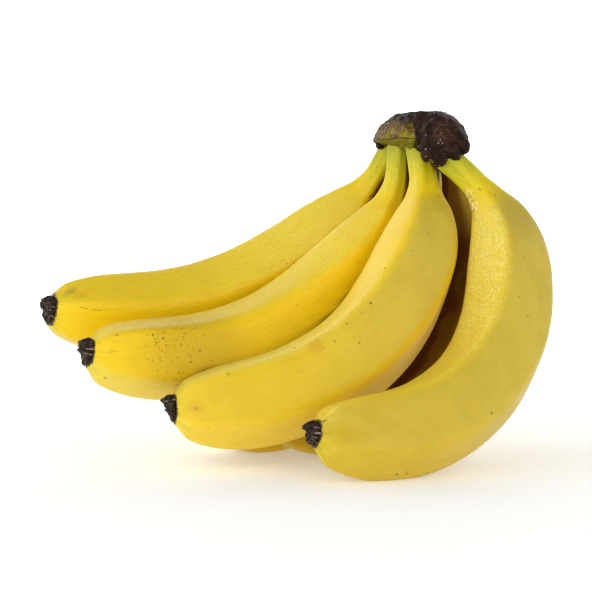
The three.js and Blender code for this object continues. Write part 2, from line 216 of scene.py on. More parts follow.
# The smooth green flank: left of GREEN_RIGHT (mm), on the side where -y - x/2 passes
# GREEN_SIDE, on faces whose normals' heights lie above FLANK_LOW and below FLANK_HIGH.
GREEN_RIGHT = 54.8
GREEN_SIDE = (-55.8, -49.8)
FLANK_LOW, FLANK_HIGH = (-0.62, -0.30), (0.45, 0.75)
RUST_UP, RUST_LEFT = (0.22, 0.42), (0.72, 0.9)  # rust where a normal leans up or left this far
STAR_REACH = (1.0, 7.5)  # the rosette's paler middle fades out over these distances (mm)
LUMPS, CRUMBS, KNOBS = (3.4, 0.55), (1.25, 0.3), (2.2, 0.5)  # the bark's: mm across, share
FLANK_SMOOTH = 0.9  # how much of the bark's relief the green flank lacks
FIBRE_DEPTH = 0.5  # of the rosette's fibres (mm)
SEAM_DEPTH = 1.8  # of the crease under the green flank (mm)
# Each hanging lobe's place: degrees from straight down, distance out, its size across (mm).
LOBES = ((-37, 11.2, 2.2), (-4, 9.9, 3.4), (38, 10.8, 2.2), (66, 11.2, 2.9))

# The dried cap on each finger's end: half across, height, and how much higher its top side is.
BLOSSOM_RADIUS, BLOSSOM_LENGTH, BLOSSOM_SLANT = 6.1, 3.6, 1.8
STUB_SIDES = 110
STUB_OVAL = 0.10
TORN_WAVE = 0.06  # how far the torn rim waves in and out, as a share of its radius
FIBRES, FIBRE_RISE = 27, 0.45  # round the cap, and how far they stand out (mm)
FRAYS = ((0.75, 1.9), (0.6, 0.8))  # the cap's lumps: share of the raggedness, mm across
# How small each finger's dried end and the peel round it have shrunk.
SHRUNK = (1.0, 0.88, 0.84, 0.79, 0.88, 0.88)
# The dried cap's outline: height and radius as shares of its size, and how torn it is there.
STUB_PROFILE = (
    (0.00, 0.90, 0.0), (0.06, 1.00, 0.1), (0.2, 1.03, 0.2), (0.36, 1.0, 0.35), (0.52, 0.95, 0.5),
    (0.68, 0.87, 0.7), (0.82, 0.77, 0.9), (0.92, 0.66, 1.0), (0.93, 0.58, 1.0), (0.82, 0.48, 0.8),
    (0.72, 0.36, 0.6), (0.68, 0.24, 0.4), (0.74, 0.10, 0.3),
)

# ------------------------------------------------------------------ the stage's own sizes

FLOOR_FLAT, FLOOR_CURVE, FLOOR_WALL = 1800.0, 900.0, 1500.0  # flat radius, bend, height (mm)
# The studio is brightest at the front left. Directions point from the hand to the light.
LIGHT_FROM = (-0.75, -0.65, 0.0)
BACKDROP_FROM, GLOW_FROM = (0.0, 1.0, 0.0), (-0.75, -0.66, 0.0)
# Round lamps: name, place, size across (m), power (W). They point at LAMP_TARGET.
LAMPS = (("softbox", (-1.25, 0.75, 0.85), 0.7, 2.5), ("front", (-1.3, -1.3, 0.4), 1.4, 1.6))
LAMP_TARGET = Vector((0, 0, 0.08))
CAMERA_TARGET = Vector((0.0016, 0.0107, 0.07205))


# ------------------------------------------------------------------ helpers: numbers

def smooth(x, low, high):
    """0 below low, 1 above high, an S-curve between."""
    t = np.clip((np.asarray(x, float) - low) / (high - low), 0, 1)
    return t * t * (3 - 2 * t)


def read_profile(pairs, places):
    """A smooth curve through (place, value) pairs, level where the list turns."""
    x, y = np.array(pairs, float).T
    slope = np.diff(y) / np.diff(x)
    knot = np.zeros(len(x))
    knot[0], knot[-1] = slope[0], slope[-1]
    before, after = slope[:-1], slope[1:]
    same = before * after > 0
    knot[1:-1][same] = 2 * before[same] * after[same] / (before[same] + after[same])
    i = np.clip(np.searchsorted(x, places, side="left") - 1, 0, len(x) - 2)
    span = x[i + 1] - x[i]
    t = (places - x[i]) / span
    step = t * t * (3 - 2 * t)
    rise = t * (1 - t) ** 2 * knot[i] - t * t * (1 - t) * knot[i + 1]
    return y[i] + (y[i + 1] - y[i]) * step + rise * span


def turned(vector, axis, angle):
    """The vector rotated about a unit axis."""
    cos, sin = math.cos(angle), math.sin(angle)
    return vector * cos + np.cross(axis, vector) * sin + axis * np.dot(axis, vector) * (1 - cos)


def full_turn(count):
    """Evenly spaced angles round a whole turn."""
    return np.arange(count) * 2 * math.pi / count


def unit(vector):
    """The vectors, each scaled to length 1."""
    return vector / np.linalg.norm(vector, axis=-1, keepdims=True)


def wobble(points, size, seed):
    """Smooth noise from -1 to 1 at each point (mm), with features about size mm across."""
    offset = Vector((seed * 17.3, seed * 5.1, seed * 9.7))
    return np.array([noise.noise(Vector(p) / size + offset) for p in points])


# ------------------------------------------------------------------ helpers: meshes

def new_object(name, points, faces):
    """A smooth-shaded mesh object at the origin, from points in millimetres."""
    mesh = bpy.data.meshes.new(name)
    mesh.from_pydata((np.asarray(points) * MM).tolist(), [], faces)
    mesh.validate()
    mesh.update()
    mesh.shade_smooth()
    piece = bpy.data.objects.new(name, mesh)
    bpy.context.scene.collection.objects.link(piece)
    return piece


def ring_faces(rings, sides, close_ends=True):
    """Quads between rings of points, and a fan of triangles on the two extra end points."""
    faces = []
    for i in range(rings - 1):
        for j in range(sides):
            k = (j + 1) % sides
            here, there = i * sides, (i + 1) * sides
            faces.append((here + j, here + k, there + k, there + j))
    if close_ends:
        first = rings * sides
        end = (rings - 1) * sides
        for j in range(sides):
            k = (j + 1) % sides
            faces.append((first, k, j))
            faces.append((first + 1, end + j, end + k))
    return faces


def closed(rings):
    """Points of a ring mesh with a middle point for each end."""
    flat = rings.reshape(-1, 3)
    return np.vstack([flat, rings[0].mean(0), rings[-1].mean(0)])


def lump(rings):
    """Points and faces of a closed lump."""
    return closed(rings), ring_faces(*rings.shape[:2])


def give_attribute(piece, name, kind, values):
    """Writes one value (or vector) for each point of the mesh."""
    layer = piece.data.attributes.new(name, kind, "POINT")
    field = "vector" if kind == "FLOAT_VECTOR" else "value"
    layer.data.foreach_set(field, np.asarray(values, np.float32).ravel())


def hand_in(piece, node, material):
    """The piece stands for a CAD node, moves with the root body and takes a slot's finish."""
    piece.data.materials.append(material)
    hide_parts(node)
    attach(piece, "root")


# ------------------------------------------------------------------ finger geometry

def finger_line(finger, places):
    """Points, directions and section axes along the middle of a finger (mm)."""
    around, dive = (math.radians(a) for a in finger["aim"])
    aim = np.array([math.cos(dive) * math.cos(around), math.cos(dive) * math.sin(around),
                    -math.sin(dive)])
    left = unit(np.array([-1.0, 0, 0]) + aim * aim[0])
    inward = turned(left, aim, math.radians(finger["turn"]))
    side = np.cross(aim, inward)

    def direction(u):
        neck = smooth(u, *NECK_BEND)
        body = smooth(u, *BODY_BEND) / smooth(1.0, *BODY_BEND)
        curl = np.radians(finger["neck"][0] * neck + finger["body"][0] * body)[:, None]
        sway = np.radians(finger["neck"][1] * neck + finger["body"][1] * body)[:, None]
        flat = np.cos(curl) * aim + np.sin(curl) * inward
        return flat * np.cos(sway) + np.sin(sway) * side

    along = direction(places)
    halfway = direction((places[1:] + places[:-1]) / 2)
    steps = halfway * (np.diff(places) * finger["length"])[:, None]
    path = np.vstack([np.zeros(3), np.cumsum(steps, 0)])
    start = np.array([np.interp(0.0, places, path[:, k]) for k in range(3)])
    path += np.array(finger["root"]) - start
    across = np.zeros_like(along)
    current = inward
    for i, way in enumerate(along):
        current = unit(current - way * np.dot(current, way))
        across[i] = current
    return path, along, across, np.cross(along, across)


def ridge_shape(angle, edge):
    """How far a soft five-sided section stands out at an angle, for a given squareness."""
    total = 0
    for k in range(RIDGES):
        total = total + np.maximum(0, np.cos(angle - 2 * math.pi * (k + 0.5) / RIDGES)) ** edge
    return total ** (-1 / edge)


def angularity(u):
    """How square the section is at each share of the length."""
    body = RIDGE_NECK + (RIDGE_BODY - RIDGE_NECK) * smooth(u, 0.1, 0.4)
    return body + (RIDGE_TIP - body) * smooth(u, 0.78, 0.95)


def finger_points(finger, index, settings):
    """Rings of peel points (mm), with their share along, and angle from the first ridge."""
    rings, sides = settings.rings, settings.sides
    t = np.linspace(0, 1, rings)
    crowded = t - RING_CROWDING * np.sin(2 * math.pi * t)
    places = STALK_START + (PEEL_END - STALK_START) * crowded
    path, along, across, side = finger_line(finger, places)
    angle = full_turn(sides)
    u, a = np.meshgrid(places, angle, indexing="ij")
    edge = angularity(u)
    mean = (ridge_shape(0, edge) + ridge_shape(math.pi / RIDGES, edge)) / 2
    shrunk = 1 - (1 - SHRUNK[index]) * smooth(places, 0.955, PEEL_END)
    radius = finger["girth"] * (read_profile(GIRTH_PROFILE, places) * shrunk)[:, None]
    reach = radius * ridge_shape(a, edge) / mean
    spacing = 2 * math.pi / RIDGES
    from_ridge = (a + spacing / 2) % spacing - spacing / 2
    towards_ends = np.maximum(1 - smooth(u, 0.12, 0.42), smooth(u, 0.7, 0.95))
    ends = (CREST_LEAST + (1 - CREST_LEAST) * towards_ends) * smooth(u, 0.08, 0.16)
    crest = np.exp(-(from_ridge / CREST_WIDTH) ** 2) * smooth(radius, *CREST_RADII)
    pleats = np.cos(PLEATS * a + 2 * np.sin(3 * a + index)) * smooth(u, 0.93, 0.98)
    grooves = np.cos(GROOVES * a + index) * (1 - smooth(u, 0.1, 0.22))
    reach += settings.crest * ends * crest
    reach += PLEAT_DEPTH * pleats + GROOVE_DEPTH * grooves
    turn = a + np.radians(finger["ridge"] + RIDGE_TWIST * (1 - smooth(u, *TWIST_SPAN)))
    base = path[:, None] + reach[..., None] * (
        np.cos(turn)[..., None] * across[:, None] + np.sin(turn)[..., None] * side[:, None])
    flat = base.reshape(-1, 3)
    dents = sum(depth * wobble(flat, size, index + seed) for depth, size, seed in DENTS)
    out = unit((base - path[:, None]).reshape(-1, 3))
    fade = smooth(u, 0.05, 0.25).ravel() * (1 - smooth(u, 0.95, PEEL_END).ravel())
    points = (flat + out * (dents * fade)[:, None]).reshape(base.shape)
    if finger["rests"]:
        points[..., 2] -= points[..., 2].min() + REST_FLAT
        points[..., 2] = np.maximum(points[..., 2], 0)
    return points, u, a, turn


def face_share(around, face, soft):
    """1 on a face between two ridges and 0 on the others, blended over its two ridges."""
    half = math.pi / RIDGES
    middle = half * (2 * face + 1)
    off = np.abs((around - middle + math.pi) % (2 * math.pi) - math.pi)
    return 1 - smooth(off, half - soft, half + soft)


def peel_masks(index, share, around):
    """Where the peel is pale, dusty, deeper yellow, waxy or in painted shade."""
    masks = {name: np.zeros_like(share) for name in ("cream_and_sheen", "dust_and_shade", "deep", "waxy", "shade")}
    # Pale faces are partly a painted sheen, dusty ones partly painted shade, deeper ones painted
    # bounce light.
    for finger, face, finish, upper, lower in FACES:
        if finger == index + 1:
            strength = upper + (lower - upper) * smooth(share, 0.3, 0.8)
            masks[finish] += strength * face_share(around, face, FACE_SOFT)
    for name in ("cream_and_sheen", "dust_and_shade", "deep", "waxy"):
        masks[name] *= smooth(share, *STALK_END)
    return masks


# Painted shade: the peel is painted brown where these rays find it shut in.
def crevice_shade(fingers):
    """How shut in each peel point is by the other fingers, from 0 (open) to 1 (deep inside)."""
    points, faces = [], []
    for rings in fingers:
        coarse = rings[::SHUT_STEP, ::SHUT_STEP]
        faces += [tuple(i + len(points) for i in face)
                  for face in ring_faces(*coarse.shape[:2], close_ends=False)]
        points += coarse.reshape(-1, 3).tolist()
    solid = BVHTree.FromPolygons(points, faces)
    up = 1 - 2 * (np.arange(RAYS) + 0.5) / RAYS
    spin = math.pi * (1 + 5 ** 0.5) * np.arange(RAYS)
    flat = np.sqrt(1 - up ** 2)
    ways = np.stack([flat * np.cos(spin), flat * np.sin(spin), up], -1)
    found = []
    for rings in fingers:
        coarse = rings[::SHUT_STEP, ::SHUT_STEP]
        middle = coarse.mean(1, keepdims=True)
        out = unit(coarse - middle)
        open_share = np.zeros(coarse.shape[:2])
        for i in range(coarse.shape[0]):
            for j in range(coarse.shape[1]):
                lean = ways @ out[i, j]
                start = Vector(coarse[i, j] + out[i, j])
                free = sum(lean[k] for k in np.flatnonzero(lean > LEAST_LEAN)
                           if solid.ray_cast(start, Vector(ways[k]), LOOK_OUT)[0] is None)
                open_share[i, j] = free / lean[lean > LEAST_LEAN].sum()
        shut = 1 - smooth(softened(open_share), *SHUT_SHARE)
        found.append(spread_out(shut, rings.shape[:2]))
    return found


def softened(values):
    """The grid averaged with its neighbours, round and along."""
    for _ in range(2):
        values = (np.roll(values, 1, 1) + 2 * values + np.roll(values, -1, 1)) / 4
        padded = np.pad(values, ((1, 1), (0, 0)), mode="edge")
        values = (padded[:-2] + 2 * padded[1:-1] + padded[2:]) / 4
    return values


def spread_out(values, shape):
    """A grid of values on every few points, spread over all of them."""
    rows, columns = shape
    around = np.concatenate([values, values[:, :1]], 1)
    at = np.arange(columns) / SHUT_STEP
    last = around.shape[1] - 1
    wide = np.array([np.interp(np.minimum(at, last), np.arange(last + 1), row) for row in around])
    along = np.minimum(np.arange(rows) / SHUT_STEP, len(values) - 1)
    return np.array([np.interp(along, np.arange(len(values)), column) for column in wide.T]).T


# ------------------------------------------------------------------ crown geometry

def rotate_z(points, angle):
    """The points rotated about the vertical axis through the origin."""
    cos, sin = math.cos(angle), math.sin(angle)
    x, y, z = points[..., 0], points[..., 1], points[..., 2]
    return np.stack([x * cos - y * sin, x * sin + y * cos, z], -1)


def crown_lump(levels=70, sides=150):
    """The pad's rings: a lump with sloping shoulders, deeper at the front end."""
    a, b, c = CROWN_HALF
    climb = math.pi * (np.arange(1, levels) / levels - 0.5)
    round_, up = np.meshgrid(full_turn(sides), climb)
    dx, dy, dz = np.cos(up) * np.cos(round_), np.cos(up) * np.sin(round_), np.sin(up)
    plan = (abs(dx / a) ** PLAN_SQUARENESS
            + abs(dy / b) ** PLAN_SQUARENESS) ** (1 / PLAN_SQUARENESS)
    reach = (plan ** SIDE_SQUARENESS + abs(dz / c) ** SIDE_SQUARENESS) ** (-1 / SIDE_SQUARENESS)
    knobble = 1 + 0.02 * np.sin(5 * round_ + 3 * up) + 0.015 * np.sin(9 * round_ - 7 * up)
    under = SHALLOW_BACK + (SHALLOW_FRONT - SHALLOW_BACK) * smooth(dx * reach, -a, a * 0.6)
    under = under * (1 - FLANK_RAISE * smooth(-dy * reach, 3, 12))
    depth = np.where(dz < 0, under, 1.0)
    rings = np.stack([dx * reach * knobble, dy * reach * knobble, dz * reach * depth], -1)
    rings = rotate_z(rings, CROWN_HEADING) + CROWN_CENTRE
    return lump(rings)


def rosette_disc():
    """The disc on the crown's front end, with lobes that hang from its lower edge."""
    profile = ((-ROSETTE_BACK, 0.72, 0), (-1.5, 0.98, 1), (1.5, 1, 1), (3, 0.86, 0.8),
               (2.6, 0.6, 0.3), (4, 0.25, 0))
    sides = 16 * SCALLOPS
    angle = full_turn(sides)
    hang = np.cos((angle - ROSETTE_HANG) / 2) ** 2
    hang = smooth(hang, 0.35, 0.8)
    wave = 2 * np.sqrt(np.cos(SCALLOPS * angle / 2) ** 2 + 0.02) - 1
    rings = []
    for out, share, lobed in profile:
        lobe = 1 + SCALLOP_DEPTH * lobed * hang * wave
        reach = ROSETTE_RADIUS * share * (ROSETTE_TOP + (1 - ROSETTE_TOP) * hang) * lobe
        rings.append(np.stack([np.full(sides, float(out)), reach * np.sin(angle),
                               -reach * np.cos(angle)], -1))
    rings = rotate_z(np.array(rings), ROSETTE_FACING) + ROSETTE_CENTRE
    return lump(rings)


def hanging_lobes():
    """Rounded ends of the rosette's lobes, and a small bump behind the first stalk."""
    lobes = []
    for degrees, distance, size in LOBES:
        angle = math.radians(degrees)
        offset = np.array([0.5, distance * math.sin(angle), -distance * math.cos(angle)])
        centre = rotate_z(offset, ROSETTE_FACING) + ROSETTE_CENTRE
        lobes.append(blob(centre, (size, size, size * 1.25), ROSETTE_FACING))
    lobes.append(blob(np.array(BACK_BUMP), BUMP_HALF))
    return lobes


def crown_masks(points, normals):
    """Where the crown is green, rusty, starred, fibrous or overhung, each from 0 to 1."""
    edge = 0.6 * wobble(points, 4.0, 7)
    left = smooth(-(points[:, 0] + edge), -GREEN_RIGHT, 0.8 - GREEN_RIGHT)
    open_side = smooth(-points[:, 1] - 0.5 * points[:, 0], *GREEN_SIDE)
    upright = smooth(normals[:, 2] + 0.05 * edge, *FLANK_LOW)
    under_top = 1 - smooth(normals[:, 2] + 0.1 * edge, *FLANK_HIGH)
    green = left * open_side * upright * under_top
    band = np.maximum(smooth(normals[:, 2] + 0.12 * edge, *RUST_UP),
                      smooth(-normals[:, 0] + 0.1 * edge, *RUST_LEFT))
    out = rotate_z(points - np.array(ROSETTE_CENTRE), -ROSETTE_FACING)
    radial = np.hypot(out[:, 1], out[:, 2] - 1.5)
    angle = np.arctan2(out[:, 1], 1.5 - out[:, 2])
    star = (1 - smooth(radial + 1.5 * edge, *STAR_REACH)) * smooth(out[:, 0], -1, 1.5)
    strands = np.stack([9 * np.cos(angle), 9 * np.sin(angle), 0.9 * radial], -1)
    curl = 0.8 * wobble(points, 1.4, 11)[:, None]
    fibre = smooth(wobble(strands + curl, 1.0, 12), -0.1, 0.45)
    under = left * open_side * (1 - upright)
    return {"green": green, "band": band, "star": star, "fibre": fibre, "under": under}


def blob(centre, half, turn=0.0, rings=14, sides=24):
    """An egg-shaped lump that is fused into the crown."""
    up = math.pi * (np.arange(1, rings) / rings - 0.5)
    a, b = np.meshgrid(full_turn(sides), up)
    points = np.stack([half[0] * np.cos(b) * np.cos(a), half[1] * np.cos(b) * np.sin(a),
                       half[2] * np.sin(b)], -1)
    return lump(rotate_z(points, turn) + centre)


def fused(parts, voxel):
    """One skin round several closed lumps, by Blender's voxel remesh. Returns points, faces."""
    points, faces = [], []
    for part_points, part_faces in parts:
        start = sum(len(p) for p in points)
        points.append(part_points)
        faces += [tuple(i + start for i in face) for face in part_faces]
    raw = new_object("crown_raw", np.vstack(points), faces)
    remesh = raw.modifiers.new("fuse", "REMESH")
    remesh.mode = "VOXEL"
    remesh.voxel_size = voxel * MM
    smoothing = raw.modifiers.new("soften", "SMOOTH")
    smoothing.iterations = 3
    depsgraph = bpy.context.evaluated_depsgraph_get()
    mesh = raw.evaluated_get(depsgraph).to_mesh()
    out_points = np.array([v.co for v in mesh.vertices]) / MM
    out_faces = [tuple(p.vertices) for p in mesh.polygons]
    bpy.data.objects.remove(raw)
    return out_points, out_faces


def point_normals(piece):
    normals = np.zeros(len(piece.data.vertices) * 3)
    piece.data.vertices.foreach_get("normal", normals)
    return normals.reshape(-1, 3)


def move_points(piece, points):
    piece.data.vertices.foreach_set("co", (points * MM).ravel())
    piece.data.update()


# ------------------------------------------------------------------ materials

class Nodes:
    """Adds shader nodes to a tree and links them in one call."""

    def __init__(self, tree):
        self.tree = tree

    def put(self, value, socket):
        """Links another node's output to the socket, or sets a plain value on it."""
        if isinstance(value, bpy.types.NodeSocket):
            self.tree.links.new(value, socket)
        else:
            socket.default_value = value

    def add(self, kind, settings=None, **inputs):
        """A new node. An input is named by its label, or i and its number."""
        node = self.tree.nodes.new("ShaderNode" + kind)
        for key, value in (settings or {}).items():
            setattr(node, key, value)
        for key, value in inputs.items():
            name = int(key[1:]) if key[1:].isdigit() else key.replace("_", " ")
            self.put(value, node.inputs[name])
        return node

    def math(self, operation, a, b=0.0, clamp=False):
        return self.add("Math", {"operation": operation, "use_clamp": clamp}, i0=a, i1=b).outputs[0]

    def times(self, a, b):
        return self.math("MULTIPLY", a, b)

    def plus(self, a, b):
        return self.math("ADD", a, b)

    def minus(self, a, b):
        return self.math("SUBTRACT", a, b)

    def swing(self, pattern, reach):
        """A pattern of 0 to 1, moved to swing about zero and scaled."""
        return self.times(self.minus(pattern, 0.5), reach)

    def vector(self, operation, a, b=(0.0, 0.0, 0.0)):
        """Vector mathematics. Gives a number where the operation measures something."""
        measures = operation in ("DISTANCE", "DOT_PRODUCT", "LENGTH")
        node = self.add("VectorMath", {"operation": operation}, i0=a, i1=b)
        return node.outputs["Value" if measures else "Vector"]

    def ramp(self, value, low, high, to_low=0.0, to_high=1.0):
        node = self.add("MapRange", {"interpolation_type": "SMOOTHSTEP"}, Value=value,
                        From_Min=low, From_Max=high, To_Min=to_low, To_Max=to_high)
        return node.outputs[0]

    def mix(self, share, a, b):
        """Colour a where the share is 0, and colour b where it is 1."""
        return self.add("Mix", {"data_type": "RGBA"}, i0=share, i6=a, i7=b).outputs[2]

    def noise(self, place, scale, detail=2.0, roughness=0.5):
        return self.add("TexNoise", None, Vector=place, Scale=scale, Detail=detail,
                        Roughness=roughness).outputs["Fac"]

    def attributes(self, *names):
        """The piece's point attributes, by name."""
        return {name: self.add("Attribute", {"attribute_name": name}).outputs["Fac"]
                for name in names}


def group(name, inputs, outputs):
    """An empty shader node group with named sockets. Returns it, its Nodes, input and output."""
    tree = bpy.data.node_groups.new(name, "ShaderNodeTree")
    for socket, kind, default in inputs:
        made = tree.interface.new_socket(socket, in_out="INPUT", socket_type=kind)
        if default is not None:
            made.default_value = default
    for socket, kind in outputs:
        tree.interface.new_socket(socket, in_out="OUTPUT", socket_type=kind)
    nodes = Nodes(tree)
    given = tree.nodes.new("NodeGroupInput").outputs
    return tree, nodes, given, tree.nodes.new("NodeGroupOutput").inputs


def mottle_group():
    """Soft blotches of a second colour over a first one, with finer clouding inside them."""
    tree, n, given, out = group(
        "Mottle",
        (("Place", "NodeSocketVector", None), ("Scale", "NodeSocketFloat", 60.0),
         ("First", "NodeSocketColor", (1, 1, 1, 1)), ("Second", "NodeSocketColor", (0, 0, 0, 1)),
         ("Amount", "NodeSocketFloat", 0.5)),
        (("Colour", "NodeSocketColor"), ("Mask", "NodeSocketFloat")))
    broad = n.noise(given["Place"], given["Scale"], 3.0, 0.55)
    fine = n.noise(given["Place"], n.times(given["Scale"], 5.0), 2.0, 0.6)
    both = n.plus(n.times(broad, 0.75), n.times(fine, 0.25))
    mask = n.times(n.ramp(both, 0.4, 0.62), given["Amount"])
    n.put(n.mix(mask, given["First"], given["Second"]), out["Colour"])
    n.put(mask, out["Mask"])
    return tree


def grain_group():
    """Height of a fine grain with coarser lumps under it, from 0 to 1."""
    tree, n, given, out = group(
        "Grain",
        (("Place", "NodeSocketVector", None), ("Fine", "NodeSocketFloat", 1200.0),
         ("Coarse", "NodeSocketFloat", 250.0), ("Coarse Share", "NodeSocketFloat", 0.4)),
        (("Height", "NodeSocketFloat"),))
    fine = n.noise(given["Place"], given["Fine"], 2.0, 0.5)
    coarse = n.noise(given["Place"], given["Coarse"], 3.0, 0.5)
    share = given["Coarse Share"]
    n.put(n.plus(n.times(fine, n.minus(1.0, share)), n.times(coarse, share)), out["Height"])
    return tree


def speck_group():
    """Small round specks in some cells of a scattered pattern, thicker in some patches."""
    tree, n, given, out = group(
        "Specks",
        (("Place", "NodeSocketVector", None), ("Scale", "NodeSocketFloat", 150.0),
         ("Size", "NodeSocketFloat", 0.08), ("Amount", "NodeSocketFloat", 0.1)),
        (("Mask", "NodeSocketFloat"),))
    cells = n.add("TexVoronoi", None, Vector=given["Place"], Scale=given["Scale"])
    chance = n.add("SeparateColor", None, Color=cells.outputs["Color"])
    clusters = n.ramp(n.noise(given["Place"], SPECK_CLUSTERS, 2.0), 0.42, 0.7)
    limit = n.times(clusters, given["Amount"])
    chosen = n.math("LESS_THAN", chance.outputs[0], limit)
    reach = n.times(given["Size"], n.ramp(chance.outputs[1], 0, 1, 0.5, 1.3))
    inner = n.times(reach, 0.55)
    spot = n.ramp(cells.outputs["Distance"], inner, reach, 1.0, 0.0)
    n.put(n.times(chosen, spot), out["Mask"])
    return tree


def shared_groups():
    """The node groups that several materials use, made once."""
    made = {g.name: g for g in bpy.data.node_groups}
    return {
        "mottle": made.get("Mottle") or mottle_group(),
        "grain": made.get("Grain") or grain_group(),
        "specks": made.get("Specks") or speck_group(),
    }


def rgba(colour):
    return (*tuple(colour)[:3], 1.0)


class Coat(Nodes):
    """A material whose colour is painted on in layers, with its settings' colours."""

    def __init__(self, name, settings):
        self.material = bpy.data.materials.new(name)
        self.material.use_nodes = True
        self.material.node_tree.nodes.clear()
        super().__init__(self.material.node_tree)
        self.settings, self.groups = settings, shared_groups()
        self.place = self.colour = None

    def paint(self, name):
        return rgba(getattr(self.settings, name))

    def over(self, share, paint):
        """One more layer: a named colour, or the colour of a pattern."""
        paint = self.paint(paint) if isinstance(paint, str) else paint
        self.colour = self.mix(share, self.colour, paint)

    def pattern(self, scale, detail=2.0, roughness=0.5):
        return self.noise(self.place, scale, detail, roughness)

    def shared(self, group_name, **inputs):
        """A shared node group's first output at this place."""
        node = self.add("Group", {"node_tree": self.groups[group_name]}, Place=self.place, **inputs)
        return node.outputs[0]

    def mottled(self, scale, first, second, amount):
        return self.shared("mottle", Scale=scale, First=self.paint(first),
                           Second=self.paint(second), Amount=amount)

    def finish(self, roughness, height, strength, distance, **fixed):
        """The Principled BSDF, its bump and its links. Fixed sockets get plain values."""
        bump = self.add("Bump", None, Strength=strength, Distance=distance, Height=height)
        shader = self.add("BsdfPrincipled", None, Base_Color=self.colour, Roughness=roughness,
                          Normal=bump.outputs["Normal"], **fixed)
        self.add("OutputMaterial", None, Surface=shader.outputs[0])
        return self.material


def on_peel(finger, share, around):
    """A place on the peel (m) as the straight attribute counts it."""
    turn, girth = math.radians(around), FINGERS[finger - 1]["girth"] * MM
    return (girth * math.cos(turn) + finger - 1, girth * math.sin(turn),
            FINGERS[finger - 1]["length"] * MM * share)


